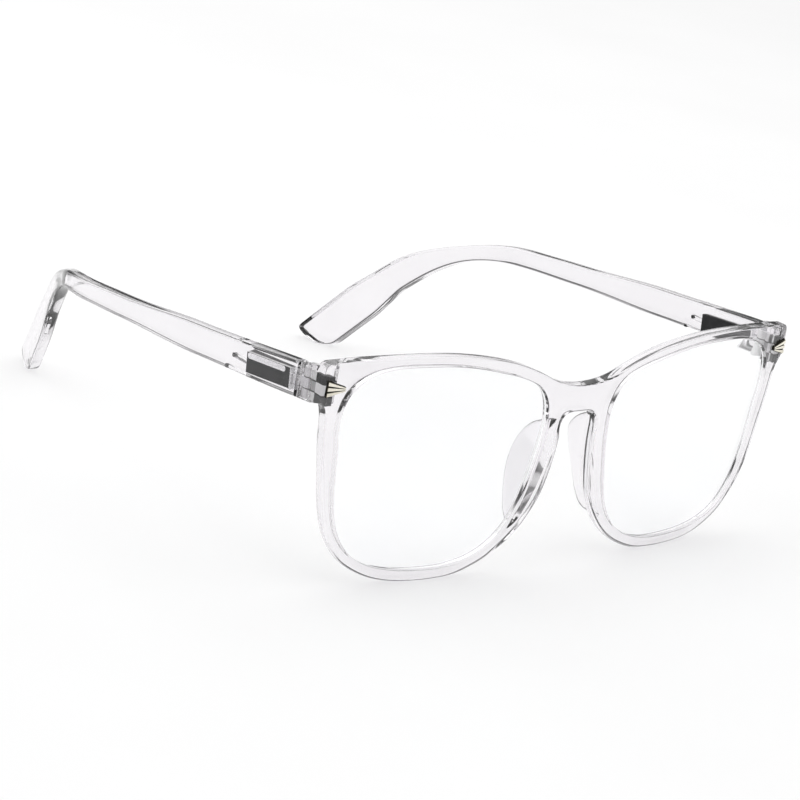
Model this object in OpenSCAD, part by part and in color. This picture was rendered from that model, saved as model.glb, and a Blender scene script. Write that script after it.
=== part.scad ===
// Clear square blue-light glasses with spring hinges, standing open on their rims and temple tips.
// Frame: +Z up, the front faces -Y, the temples run along +Y, the wearer's left is +X.

/* [Front] */
// Radius of the front's wrap, about a vertical axis behind the bridge
wrap_r = 365; // [250:5:600]
// Depth of the rims, front to back
rim_depth = 3.0; // [2.4:0.1:4]
// Forward lean of the front, in degrees
front_lean = 1.5; // [0:0.5:3]
// Height of the lens datum line above the table
eye_z = 32.75; // [32:0.05:34]
// Lens opening, top outer corner: across, up, radius
open_top_out = [52.5, 6.0, 11.2]; // [-30:0.1:60]
// Lens opening, arched top edge: across, up, radius
open_top = [42.0, -62.4, 80.0]; // [-70:0.1:90]
// Lens opening, top inner corner: across, up, radius
open_top_in = [20.0, 3.8, 10.5]; // [-30:0.1:60]
// Lens opening, bottom inner corner: across, up, radius
open_bot_in = [34.3, -6.3, 23.6]; // [-30:0.1:60]
// Lens opening, bottom outer corner: across, up, radius
open_bot_out = [43.9, -11.1, 18.0]; // [-30:0.1:60]
// Rim outline, top outer corner: across, up, radius
rim_top_out = [52.5, 6.0, 14.3]; // [-30:0.1:60]
// Rim outline, top inner corner: across, up, radius
rim_top_in = [20.0, 3.8, 15.0]; // [-30:0.1:60]
// Rim outline, bottom inner corner: across, up, radius
rim_bot_in = [33.5, -5.5, 27.3]; // [-30:0.1:60]
// Rim outline, bottom outer corner: across, up, radius
rim_bot_out = [44.3, -11.9, 20.4]; // [-30:0.1:60]

/* [Brow and bridge] */
// Radius of the brow line's inner half
brow_r = 90; // [70:1:120]
// Highest point of the brow line: across, up
brow_top = [44, 20.2]; // [0:0.1:60]
// Top edge of the bridge above the datum
bridge_top = 11.3; // [10:0.1:13]
// Underside of the bridge above the datum
bridge_under = 4.6; // [3:0.1:6]
// Half of the gap between the nasal rims
nose_gap = 5.0; // [4.5:0.1:6]
// Radius of the nose arch's two top corners
arch_corner_r = 2.5; // [1:0.1:3]
// Half width of the bridge where it meets the brow
bridge_half = 9; // [8:0.1:10]
// Radius of the hollow in the bridge's top edge
bridge_dip_r = 30; // [20:1:60]

/* [Nose pads] */
// Outline of a moulded pad as balls to hull: across, behind the front, above the datum, radius
pad_balls = [[9.2, 3.4, 0.5, 1.0], [8.6, 9.4, -3.2, 1.0], [11.3, 9.6, -10.2, 1.1],
    [12.4, 7.2, -17.5, 1.1], [14.6, 3.6, -20.5, 1.0], [8.2, 2.6, -9.0, 1.2]]; // [-25:0.1:20]

/* [End pieces and hinges] */
// Half width of the front at its corners
front_half_w = 69.3; // [68:0.1:71]
// Top edge of an end piece, from the brow to its corner: across, above the datum
end_brow = [[52, 19.7], [68.4, 18.9], [69.3, 18.0]]; // [0:0.1:75]
// Underside of an end piece, where it blends into the rim: across, above the datum
end_blend = [[69.3, 10.35], [68.8, 9.35], [67.6, 7.95], [67.0, 5.35], [62, 4.35], [52, 0]]; // [0:0.1:75]
// Half width over the temples at the joint
joint_half_w = 70.5; // [69:0.1:72]
// Lowest and highest point of an end piece above the table
end_z = [42.0, 50.0]; // [40:0.1:52]
// Hinge axis: across, back, height of the middle knuckle
hinge_at = [67.0, 13.0, 45.4]; // [10:0.1:70]
// Height of one knuckle
knuckle_h = 2.2; // [1.8:0.1:2.4]
// Radius of a knuckle
knuckle_r = 1.5; // [1.3:0.05:1.6]
// Radius of the hinge screw
screw_r = 0.6; // [0.5:0.05:0.7]
// Radial running clearance of screw, shaft and collar
run_gap = 0.05; // [0.02:0.01:0.08]
// Angle that a temple opens past straight, in degrees
over_open = 10; // [5:1:12]

/* [Accents] */
// Middle of the trim: across, above the datum
accent_at = [66.6, 13.4]; // [10:0.1:70]
// Narrow end of the trim: distance inwards, half height
accent_narrow = [2.3, 0.5]; // [0.3:0.1:4]
// Wide end of the trim: distance outwards, half height
accent_wide = [2.1, 1.9]; // [0.3:0.1:4]

/* [Spring cases] */
// Downward slope of the spring case, in degrees
case_slope = 5.5; // [3:0.5:7]
// Spring case: width, length, height
case_size = [2.4, 15, 4.4]; // [2:0.1:18]
// Distance from the hinge axis back to the mouth of the case
case_mouth = 3.5; // [3.4:0.1:5]
// Offset of the case's bore outwards from the hinge axis
bore_offset = 1.2; // [1:0.05:1.3]
// Turns of the flex spring
spring_turns = 9; // [6:1:10]

/* [Temples] */
// Thickness of a temple
temple_t = 3.3; // [3:0.1:4]
// Downward slope of the straight part, in degrees
temple_slope = 4.75; // [3:0.05:7]
// Length of the straight part, seen from the side
straight_len = 86.2; // [80:0.1:100]
// Radius of the ear bend's centre line
bend_r = 47; // [20:1:60]
// Downward turn of the ear bend, in degrees
bend_turn = 45.2; // [30:0.1:50]
// Plan view of the temple's centre line, from the joint back: length, turn inwards in degrees, steps
plan_legs = [[83.5, 7.3, 15], [17, 25.8, 8], [75, -13, 12]]; // [-20:0.1:100]
// Length of the straight behind the bend, up to the paddle's round end
tail_len = 24.75; // [20:0.01:36]
// Length of the paddle's rounded end, as a share of its half height
paddle_round = 0.7; // [0.4:0.05:1]
// Slant of the paddle's end towards the table, as a share of its half height
paddle_skew = 0.5; // [0:0.05:0.8]
// Half height of the temple at stations along its length: station, half height
temple_half = [[0, 3.9], [35, 3.5], [65, 2.6], [82, 2.4], [98, 2.05], [120, 3.6], [134, 4.7]]; // [0:0.05:140]

/* [Hidden] */

depth_mid = 76.68;       // half of the depth over all, from the front to the temple tips
arc_step = 5;            // degrees between two points on a rounded corner
$fn = 48;

open_loop = [open_top_out, open_top, open_top_in, open_bot_in, open_bot_out];
rim_loop = [rim_top_out, rim_top_in, rim_bot_in, rim_bot_out];

lens_t = 1.8;            // lens thickness
lens_set_back = 0.7;     // lens front below the rim's front face
groove_depth = 1.0;      // depth of the lens groove

axis_x = hinge_at[0];
axis_y = hinge_at[1];
wall_gap = 0.2;          // room between the knuckles and the end piece
wall_in = axis_x + knuckle_r + wall_gap;      // inner face of the end piece beside the knuckles
anchor_y = axis_y - knuckle_r - wall_gap;     // rear face of the end piece's thick part
butt_gap = 1.1;          // temple's front face behind the hinge axis
temple_start_y = axis_y - 3;
shaft_r = 0.5;
shaft_end = 14.0;
bore_r = 1.0;
collar_w = 1.0;
bush_w = 1.2;
plate_t = 0.4;           // thickness of the plate across the mouth of a case
wire_r = 0.15;
paddle_power = 0.8;      // below 1 squares the corners of the paddle's end

// ---- outlines -------------------------------------------------------------

// Angle of the outward normal on the common tangent from corner a to corner b
function tangent_angle(a, b) =
    let (dx = b[0] - a[0], dy = b[1] - a[1])
    atan2(dy, dx) - acos((a[2] - b[2]) / norm([dx, dy]));

// The angle equal to "to" in the full turn that starts at "from"
function unwrap(from, to) =
    to < from ? unwrap(from, to + 360) :
    to >= from + 360 ? unwrap(from, to - 360) :
    to;

// Outline of a loop round corner circles [across, up, radius], anticlockwise, grown by grow
function loop_path(c, grow = 0) = [
    for (i = [0 : len(c) - 1])
        let (
            before = c[(i + len(c) - 1) % len(c)],
            after = c[(i + 1) % len(c)],
            a0 = tangent_angle(before, c[i]),
            a1 = unwrap(a0, tangent_angle(c[i], after)),
            steps = max(1, ceil((a1 - a0) / arc_step)),
            r = c[i][2] + grow
        )
        for (k = [0 : steps])
            let (a = a0 + (a1 - a0) * k / steps)
            [c[i][0] + r * cos(a), c[i][1] + r * sin(a)]
];

// Everything below the brow line, on the +X side
module below_brow() {
    floor_v = -40;
    side_u = 80;
    side_v = 18.2;       // height of the brow line out at side_u
    intersection() {
        translate([brow_top[0], brow_top[1] - brow_r]) circle(r = brow_r, $fn = 360);
        translate([0, floor_v]) square([brow_top[0], -2 * floor_v]);
    }
    polygon([[brow_top[0], floor_v], [side_u, floor_v], [side_u, side_v], brow_top]);
}

// End piece as seen from the front, blended into the rim's side below
module end_outline() {
    polygon(concat(end_brow, end_blend));
}

module bridge_outline() {
    bottom = bridge_under - arch_corner_r;
    difference() {
        translate([-bridge_half, bottom]) square([2 * bridge_half, bridge_top + 2 - bottom]);
        translate([0, bridge_top + bridge_dip_r]) circle(r = bridge_dip_r, $fn = 180);
    }
}

// Nose arch: the gap between the nasal rims below the bridge
module nose_arch() {
    arch_drop = 12;
    inner_half = nose_gap - arch_corner_r;
    translate([-nose_gap, bridge_under - arch_drop]) square([2 * nose_gap, arch_drop - arch_corner_r]);
    translate([-inner_half, bridge_under - arch_drop]) square([2 * inner_half, arch_drop]);
    for (s = [-1, 1])
        translate([s * inner_half, bridge_under - arch_corner_r]) circle(r = arch_corner_r);
}

module half_front() {
    intersection() {
        union() {
            polygon(loop_path(rim_loop));
            end_outline();
        }
        below_brow();
    }
}

module front_outline() {
    difference() {
        union() {
            half_front();
            mirror([1, 0]) half_front();
            bridge_outline();
        }
        nose_arch();
        polygon(loop_path(open_loop));
        mirror([1, 0]) polygon(loop_path(open_loop));
    }
}

// ---- placing --------------------------------------------------------------

module place() {
    translate([0, -depth_mid, 0]) children();
}

// The front's own frame: datum line at eye height, leaning forward
module front_place() {
    place() translate([0, 0, eye_z]) rotate([front_lean, 0, 0]) children();
}

// A side's parts, drawn for the left (+X) side
module side(s) {
    mirror([s < 0 ? 1 : 0, 0, 0]) children();
}

// The temple's own frame: hinge axis at the origin, y' along the spring case
module case_place() {
    place() translate(hinge_at) rotate([-case_slope, 0, 0]) children();
}

// A 2D outline (across, up) carried back from y0 to y1
module along_y(y0, y1) {
    translate([0, y1, 0]) rotate([90, 0, 0]) linear_extrude(y1 - y0) children();
}

// The wrapped layer between two depths behind the front face
module wrap_layer(d0, d1) {
    translate([0, wrap_r, -60]) difference() {
        cylinder(r = wrap_r - d0, h = 120, $fn = 720);
        translate([0, 0, -1]) cylinder(r = wrap_r - d1, h = 122, $fn = 720);
    }
}

module wrapped(d0, d1) {
    intersection() {
        along_y(-5, 25) children();
        wrap_layer(d0, d1);
    }
}

// ---- front ----------------------------------------------------------------

// Moulded nose pad: a fin behind the nasal rim that spreads backwards
module nose_pad() {
    hull()
        for (b = pad_balls) translate([b[0], b[1], b[2]]) sphere(r = b[3], $fn = 16);
}

// Solid part of an end piece, running back to the joint with the temple
module end_block() {
    butt = axis_y + butt_gap - run_gap;
    slope = tan(over_open);
    inner = 63;
    front_y = 7.0;       // front of the block, sunk in the wrapped rim
    chamfer = 1.5;
    wall_out = joint_half_w - 0.1;
    translate([0, 0, end_z[0]]) linear_extrude(end_z[1] - end_z[0]) polygon([
        [inner, front_y], [inner, anchor_y - chamfer], [inner + chamfer, anchor_y], [wall_in, anchor_y],
        [wall_in, butt - slope * (wall_in - axis_x)],
        [wall_out, butt - slope * (wall_out - axis_x)],
        [front_half_w, front_y + 0.4]
    ]);
}

module lens_space() {
    wrapped(lens_set_back, lens_set_back + lens_t) polygon(loop_path(open_loop, groove_depth));
}

module front_frame() {
    color([0.93, 0.93, 0.96, 0.5]) difference() {
        union() {
            front_place() difference() {
                union() {
                    wrapped(0, rim_depth) front_outline();
                    nose_pad();
                    mirror([1, 0, 0]) nose_pad();
                }
                lens_space();
                mirror([1, 0, 0]) lens_space();
            }
            place() for (s = [1, -1]) side(s) end_block();
        }
        for (s = [1, -1]) side(s) {
            accent_solid();
            front_hinge_solid();
        }
    }
}

module lens(s) {
    color([0.85, 0.92, 1.0, 0.25]) side(s) front_place() lens_space();
}

// Ribbed trim on the end piece's front face, with two pins
module accent_solid() {
    x0 = accent_at[0];
    y0 = wrap_r - sqrt(wrap_r * wrap_r - x0 * x0);
    turn = asin(x0 / wrap_r);
    plate_half_t = 0.35;
    rib_proud = 0.7;
    rib_inset = 0.1;     // distance of the ribs' ends from the plate's ends
    rib_gap = [0.3, 1.25];
    rib_half = [0.1, 0.4];
    pin_r = 0.4;
    pin_len = 0.8;
    pin_reach = 1;
    tip = -accent_narrow[0];
    foot = accent_wide[0];
    front_place() translate([x0, y0, accent_at[1]]) rotate([0, 0, turn]) {
        along_y(-plate_half_t, plate_half_t) polygon([
            [tip, -accent_narrow[1]], [foot, -accent_wide[1]], [foot, accent_wide[1]], [tip, accent_narrow[1]]
        ]);
        for (k = [-1, 0, 1])
            along_y(-rib_proud, 0) polygon([
                [tip + rib_inset, k * rib_gap[0] - rib_half[0]],
                [foot - rib_inset, k * rib_gap[1] - rib_half[1]],
                [foot - rib_inset, k * rib_gap[1] + rib_half[1]],
                [tip + rib_inset, k * rib_gap[0] + rib_half[0]]
            ]);
        for (x = [-pin_reach, pin_reach])
            translate([x, 0, 0]) rotate([-90, 0, 0]) cylinder(r = pin_r, h = pin_len, $fn = 24);
    }
}

module accent(s) {
    color([0.80, 0.68, 0.45]) side(s) accent_solid();
}

// ---- hinge ----------------------------------------------------------------

// Metal leaf moulded into the end piece, with the two outer knuckles
module front_hinge_solid() {
    leaf_t = 1.4;
    leaf_reach = 6.1;
    arm_reach = 2.2;
    edge = 0.1;          // step from a knuckle's end face to the leaf's edge
    middle = knuckle_h / 2;
    outer = 1.5 * knuckle_h;
    place() translate(hinge_at) difference() {
        union() {
            translate([-leaf_t / 2, -leaf_reach, -outer + edge])
                cube([leaf_t, leaf_reach - knuckle_r - wall_gap, 2 * (outer - edge)]);
            for (z = [-outer, middle]) translate([0, 0, z]) {
                translate([-leaf_t / 2, -arm_reach, edge]) cube([leaf_t, arm_reach, knuckle_h - 2 * edge]);
                cylinder(r = knuckle_r, h = knuckle_h);
            }
        }
        translate([0, 0, middle - 1]) cylinder(r = screw_r + run_gap, h = knuckle_h + 2);
        translate([0, 0, -outer - 1]) cylinder(r = screw_r, h = knuckle_h + 1.5);
    }
}

module front_hinge(s) {
    color([0.55, 0.55, 0.58]) side(s) front_hinge_solid();
}

module hinge_screw(s) {
    outer = 1.5 * knuckle_h;
    head_r = 1.05;
    head_h = 0.55;
    slot_w = 0.26;
    slot_depth = 0.25;
    color([0.62, 0.62, 0.65]) side(s) place() translate(hinge_at) difference() {
        union() {
            translate([0, 0, -outer]) cylinder(r = screw_r, h = 2 * outer);
            translate([0, 0, outer]) cylinder(r = head_r, h = head_h);
        }
        translate([-2 * head_r, -slot_w / 2, outer + head_h - slot_depth]) cube([4 * head_r, slot_w, head_h]);
    }
}

// Middle knuckle with the neck and shaft that slide in the spring case
module hinge_slider(s) {
    half = knuckle_h / 2 - run_gap;
    neck_half = 0.9;
    neck_in = -0.7;      // inner face of the neck
    root_y = 1.1;        // start of the neck, inside the knuckle
    flange_y = 1.9;      // start of the wide part that carries the shaft
    flange_end = case_mouth - 0.1;
    shaft_root = 2.5;
    color([0.6, 0.6, 0.63]) side(s) difference() {
        union() {
            place() translate(hinge_at) translate([0, 0, -half]) cylinder(r = knuckle_r, h = 2 * half);
            case_place() {
                translate([neck_in, root_y, -neck_half]) cube([1.6, 1.2, 2 * neck_half]);
                translate([neck_in, flange_y, -neck_half]) cube([2.5, flange_end - flange_y, 2 * neck_half]);
                translate([bore_offset, shaft_root, 0]) rotate([-90, 0, 0])
                    cylinder(r = shaft_r, h = shaft_end - shaft_root);
            }
        }
        place() translate(hinge_at) translate([0, 0, -3]) cylinder(r = screw_r + run_gap, h = 6);
    }
}

// Coil spring on the shaft, between the mouth's bush and the end collar
function coil_ring(turn, length, radius, wire, sides) = [
    for (j = [0 : sides - 1])
        let (a = 360 * j / sides, r = radius + wire * cos(a))
        [r * cos(360 * turn), length + wire * sin(a), r * sin(360 * turn)]
];

module coil(y0, y1, radius, wire, turns) {
    sides = 6;
    per_turn = 12;
    rings = turns * per_turn;
    points = [
        for (i = [0 : rings])
            each coil_ring(i / per_turn, y0 + wire + (y1 - y0 - 2 * wire) * i / rings, radius, wire, sides)
    ];
    walls = [
        for (i = [0 : rings - 1]) for (j = [0 : sides - 1])
            let (k = (j + 1) % sides, a = i * sides, b = a + sides)
            each [[a + j, a + k, b + j], [a + k, b + k, b + j]]
    ];
    first = [for (j = [1 : sides - 2]) [0, j + 1, j]];
    last = [for (j = [1 : sides - 2]) let (b = rings * sides) [b, b + j, b + j + 1]];
    polyhedron(points = points, faces = concat(walls, first, last), convexity = 10);
}

module flex_spring(s) {
    near_end = case_mouth + bush_w + run_gap;
    far_end = shaft_end - collar_w - run_gap;
    color([0.45, 0.45, 0.48]) side(s) case_place() translate([bore_offset, 0, 0])
        coil(near_end, far_end, (shaft_r + bore_r) / 2, wire_r, spring_turns);
}

module spring_collar(s) {
    color([0.5, 0.5, 0.52]) side(s) case_place()
        translate([bore_offset, shaft_end - collar_w, 0]) rotate([-90, 0, 0]) difference() {
            cylinder(r = bore_r - run_gap, h = collar_w);
            translate([0, 0, -1]) cylinder(r = shaft_r, h = collar_w + 2);
        }
}

// Plate and plug that close the mouth of the case round the shaft
module guide_bush(s) {
    color([0.7, 0.6, 0.4]) side(s) case_place()
        translate([bore_offset, case_mouth, 0]) rotate([-90, 0, 0]) difference() {
            union() {
                translate([-case_size[0] / 2, -case_size[2] / 2, 0])
                    cube([case_size[0], case_size[2], plate_t]);
                cylinder(r = bore_r, h = bush_w);
            }
            translate([0, 0, -1]) cylinder(r = shaft_r + run_gap, h = bush_w + 2);
        }
}

module case_solid() {
    case_place() translate([bore_offset - case_size[0] / 2, case_mouth, -case_size[2] / 2]) cube(case_size);
}

module spring_case(s) {
    end_wall = 1.5;
    recess_half = 4;
    color([0.2, 0.2, 0.22]) side(s) difference() {
        case_solid();
        case_place() translate([bore_offset, case_mouth - 1, 0]) {
            rotate([-90, 0, 0]) cylinder(r = bore_r, h = case_size[1] + 1 - end_wall);
            translate([-recess_half, 0, -recess_half]) cube([2 * recess_half, 1 + plate_t, 2 * recess_half]);
        }
    }
}

// ---- temple ---------------------------------------------------------------

// A path of arcs: legs are [length, turn in degrees]; gives [a, b, heading, station] points
function leg_points(p, leg, steps) = [
    for (k = [1 : steps])
        let (
            t = k / steps,
            turn = leg[1] * t,
            chord = leg[1] == 0 ? leg[0] * t : 2 * leg[0] / (leg[1] * PI / 180) * sin(turn / 2),
            h = p[2] + turn / 2
        )
        [p[0] + chord * cos(h), p[1] + chord * sin(h), p[2] + turn, p[3] + leg[0] * t]
];

function walk(p, legs, i = 0) =
    i == len(legs) ? [p] :
    let (points = leg_points(p, legs[i], legs[i][2]), last = len(points) - 1)
    concat([p], [for (k = [0 : 1 : last - 1]) points[k]], walk(points[last], legs, i + 1));

function smooth(t) = t * t * (3 - 2 * t);

// Half height at a station, blended smoothly between the stated stations
function half_at(s, i = 0) =
    s <= temple_half[0][0] ? temple_half[0][1] :
    i == len(temple_half) - 1 ? temple_half[i][1] :
    s > temple_half[i + 1][0] ? half_at(s, i + 1) :
    let (a = temple_half[i], b = temple_half[i + 1])
    a[1] + (b[1] - a[1]) * smooth((s - a[0]) / (b[0] - a[0]));

// Point of the paddle's end outline, along the temple and across it
function paddle_end(tip, turn) = [
    tip * (paddle_round * pow(abs(cos(turn)), paddle_power) + paddle_skew * sin(turn)),
    tip * sign(turn) * pow(abs(sin(turn)), paddle_power)
];

// Band of half height half_at(station) round a path, with the paddle's slanted round end
function band(path) =
    let (
        count = len(path),
        last = path[count - 1],
        tip = half_at(last[3])
    )
    concat(
        [for (p = path) [p[0] - half_at(p[3]) * sin(p[2]), p[1] + half_at(p[3]) * cos(p[2])]],
        [for (turn = [90 : -7.5 : -90])
            let (e = paddle_end(tip, turn))
            [last[0] + e[0] * cos(last[2]) - e[1] * sin(last[2]),
             last[1] + e[0] * sin(last[2]) + e[1] * cos(last[2])]],
        [for (i = [count - 2 : -1 : 0])
            let (p = path[i])
            [p[0] + half_at(p[3]) * sin(p[2]), p[1] - half_at(p[3]) * cos(p[2])]]
    );

// Side view: back along y, up along z
module temple_side_view() {
    bend_len = bend_r * bend_turn * PI / 180;
    lead = 4;            // start of the path ahead of station zero
    start_z = 46.1;
    path = walk([temple_start_y, start_z, -temple_slope, -lead], [
        [straight_len + lead, 0, 12], [bend_len, -bend_turn, 14], [tail_len, 0, 8]
    ]);
    polygon(band(path));
}

// Plan view: the centre line splays a little, turns in behind the ear, then straightens
module temple_plan_view() {
    heading = 86;        // 90 is straight back
    inset = 0.2;
    path = walk([joint_half_w - temple_t / 2 - inset, temple_start_y, heading, 0], plan_legs);
    half = temple_t / 2;
    polygon(concat(
        [for (p = path) [p[0] + half * sin(p[2]), p[1] - half * cos(p[2])]],
        [for (i = [len(path) - 1 : -1 : 0])
            let (p = path[i])
            [p[0] - half * sin(p[2]), p[1] + half * cos(p[2])]]
    ));
}

// Slot with round ends, milled from the inner face behind the spring case
module finger_slot(y0, y1, z) {
    slot_r = 0.5;
    depth = 3.4;         // measured from 1 mm inside the temple's inner face at the joint
    translate([joint_half_w - temple_t - 1, 0, z]) rotate([0, 90, 0]) {
        for (y = [y0 + slot_r, y1 - slot_r]) translate([0, y, 0]) cylinder(r = slot_r, h = depth);
        translate([-slot_r, y0 + slot_r, 0]) cube([2 * slot_r, y1 - y0 - 2 * slot_r, depth]);
    }
}

module temple(s) {
    neck_room = 1.15;
    finger_start = axis_y + case_mouth + case_size[1] - 0.3;
    upper_finger = [5.2, 43.6];    // length, height
    lower_finger = [7.2, 40.6];
    knuckle_room = knuckle_r + 0.25;
    room_h = 15;
    reach = 200;         // larger than the temple in every direction
    color([0.93, 0.93, 0.96, 0.5]) side(s) difference() {
        place() intersection() {
            rotate([90, 0, 90]) linear_extrude(reach) temple_side_view();
            linear_extrude(reach) temple_plan_view();
            translate([0, axis_y + butt_gap, -reach / 2]) cube(reach);
        }
        case_solid();
        place() translate(hinge_at) translate([0, 0, -room_h]) cylinder(r = knuckle_room, h = 2 * room_h);
        case_place() translate([-4, 0, -neck_room]) cube([6, case_mouth + 0.1, 2 * neck_room]);
        place() {
            for (f = [upper_finger, lower_finger])
                finger_slot(finger_start, finger_start + f[0], f[1]);
        }
    }
}

front_frame();
lens(1);  // left_lens
lens(-1);  // right_lens
accent(1);  // left_accent
accent(-1);  // right_accent
front_hinge(1);  // left_front_hinge
front_hinge(-1);  // right_front_hinge
hinge_screw(1);  // left_hinge_screw
hinge_screw(-1);  // right_hinge_screw
hinge_slider(1);  // left_hinge_slider
hinge_slider(-1);  // right_hinge_slider
flex_spring(1);  // left_flex_spring
flex_spring(-1);  // right_flex_spring
spring_collar(1);  // left_spring_collar
spring_collar(-1);  // right_spring_collar
guide_bush(1);  // left_guide_bush
guide_bush(-1);  // right_guide_bush
spring_case(1);  // left_spring_case
spring_case(-1);  // right_spring_case
temple(1);  // left_temple
temple(-1);  // right_temple
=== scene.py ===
"""Clear square blue-light glasses with spring hinges, standing open on a pale floor.

Sizes are in millimetres in the object's own frame: x towards the wearer's left, y back from the front face
at the bridge, z up from the floor. place() moves them into the row frame, in metres.
"""

import math

import bmesh
import bpy
import numpy as np
from mathutils import Matrix, Vector, geometry


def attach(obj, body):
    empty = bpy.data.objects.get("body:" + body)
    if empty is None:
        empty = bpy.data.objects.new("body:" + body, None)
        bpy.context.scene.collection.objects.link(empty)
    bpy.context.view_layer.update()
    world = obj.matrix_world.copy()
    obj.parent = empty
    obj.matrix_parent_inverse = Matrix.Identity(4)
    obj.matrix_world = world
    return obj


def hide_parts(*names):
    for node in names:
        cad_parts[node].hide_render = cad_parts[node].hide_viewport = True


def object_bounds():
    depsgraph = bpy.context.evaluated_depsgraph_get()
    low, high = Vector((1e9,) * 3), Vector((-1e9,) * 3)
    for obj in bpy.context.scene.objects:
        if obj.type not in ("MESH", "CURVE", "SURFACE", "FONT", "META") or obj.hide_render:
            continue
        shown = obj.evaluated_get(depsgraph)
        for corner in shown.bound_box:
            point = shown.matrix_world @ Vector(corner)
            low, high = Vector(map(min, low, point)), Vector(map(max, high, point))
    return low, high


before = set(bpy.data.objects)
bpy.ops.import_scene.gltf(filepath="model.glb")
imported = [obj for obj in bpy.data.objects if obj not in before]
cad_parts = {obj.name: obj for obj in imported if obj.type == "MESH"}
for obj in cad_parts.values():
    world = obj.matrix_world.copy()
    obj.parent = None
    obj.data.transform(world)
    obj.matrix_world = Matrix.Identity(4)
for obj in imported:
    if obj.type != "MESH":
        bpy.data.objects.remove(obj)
cad_low, cad_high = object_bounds()

MM = 0.001
DEPTH_MID = 76.68                    # middle of the object's depth, behind the bridge
HINGE = (67.0, 13.0, 45.4)           # centre of the left hinge's middle knuckle
KNUCKLE_H = 2.2
KNUCKLE_ROOM = 1.75                  # radius of the hollow around the knuckles
ACCENT_AT = (66.6, 13.4)             # place of the accent's tip on the front, across and up

WRAP_R = 365.0                       # radius that the front is wrapped round
LEAN = math.radians(1.5)
EYE_Z = 32.75                        # height of the front's zero line
RIM_DEPTH = 3.0

LENS_CENTRE = Vector((37.0, -4.0))
LENS_FRONT, LENS_BACK = 0.8, 2.32    # depths behind the rim's front face
LENS_BITE = 0.02                     # how far the lens's edge runs into the rim
LENS_CHAMFER = 0.05

CASE_SLOPE = math.radians(5.5)
CASE_T = 2.4
CASE_MOUTH, CASE_LEN = 3.5, 15.0     # start and length of the spring case, behind the hinge
CASE_MID = 1.2                       # case's middle, outside the hinge axis
CASE_TOP = 2.17                      # just below the case's top face

TEMPLE_T = 3.297
TEMPLE_EDGE_R = 0.75
TEMPLE_LEAD = 4.0                    # path drawn ahead of the temple's station zero
JOINT_Y = 14.1                       # temple's front end
JOINT_HALF_W = 70.499


# ---- placing ----------------------------------------------------------------------------------


def place(x, y, z):
    return Vector((x * MM, (y - DEPTH_MID) * MM, z * MM))


def front_point(u, v, w):
    """A point of the wrapped, leaning front: across, up, depth behind the front face."""
    y = WRAP_R - math.sqrt((WRAP_R - w) ** 2 - u * u)
    c, s = math.cos(LEAN), math.sin(LEAN)
    return place(u, y * c - v * s, y * s + v * c + EYE_Z)


# ---- outlines ---------------------------------------------------------------------------------


def spline(points, step, closed=True):
    """Catmull-Rom curve through 2D or 3D points, sampled about every step."""
    pts = [Vector(p) for p in points]
    n = len(pts)
    out = []
    for i in range(n if closed else n - 1):
        p1, p2 = pts[i], pts[(i + 1) % n]
        p0 = pts[i - 1] if closed or i > 0 else p1 * 2 - p2
        p3 = pts[(i + 2) % n] if closed or i + 2 < n else p2 * 2 - p1
        d1, d0, d2 = (p2 - p1).length, (p1 - p0).length, (p3 - p2).length
        k0, k1, k2 = (max(d, 1e-6) ** 0.5 for d in (d0, d1, d2))
        m1 = ((p1 - p0) / k0 - (p2 - p0) / (k0 + k1) + (p2 - p1) / k1) * k1
        m2 = ((p2 - p1) / k1 - (p3 - p1) / (k1 + k2) + (p3 - p2) / k2) * k1
        steps = max(1, round(d1 / step))
        for k in range(steps):
            t = k / steps
            out.append(
                p1 * (2 * t**3 - 3 * t**2 + 1) + m1 * (t**3 - 2 * t**2 + t)
                + p2 * (-2 * t**3 + 3 * t**2) + m2 * (t**3 - t**2)
            )
    if not closed:
        out.append(pts[-1])
    return out


def between(a, b, step):
    """Points strictly between a and b, about step apart."""
    n = max(1, round(math.dist(a, b) / step))
    return [tuple(a[j] + (b[j] - a[j]) * k / n for j in range(2)) for k in range(1, n)]


HALF_OUTLINE = [
    (0, 11.3), (3, 11.45), (6, 11.95), (9, 12.85), (13, 14.7), (19, 16.9), (25, 18.4), (36, 19.82),
    (44, 20.06), (51, 19.92), (60.7, 19.5), (66.5, 18.95), (68.3, 18.7), (69.1, 18.0), (69.3, 16.8),
    (69.3, 13.0), (69.25, 11.6), (68.8, 10.2), (68.0, 8.9), (67.35, 6.5), (66.9, 2), (66.2, -2.5),
    (65.5, -6.5), (64.6, -12), (63.0, -18), (60.5, -23), (56.8, -27.3), (51, -30.6), (46, -32.05),
    (40.6, -32.67), (33.5, -32.69), (27, -31.95), (20, -29.2), (16.8, -27.1), (14, -24.6),
    (11.5, -21.7), (9.3, -18.4), (7.5, -15), (6.1, -10), (5.25, -5), (5.0, -1.5), (5.0, 1.6),
    (4.6, 3.2), (3.7, 4.2), (2.2, 4.6), (0, 4.6),
]
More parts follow.
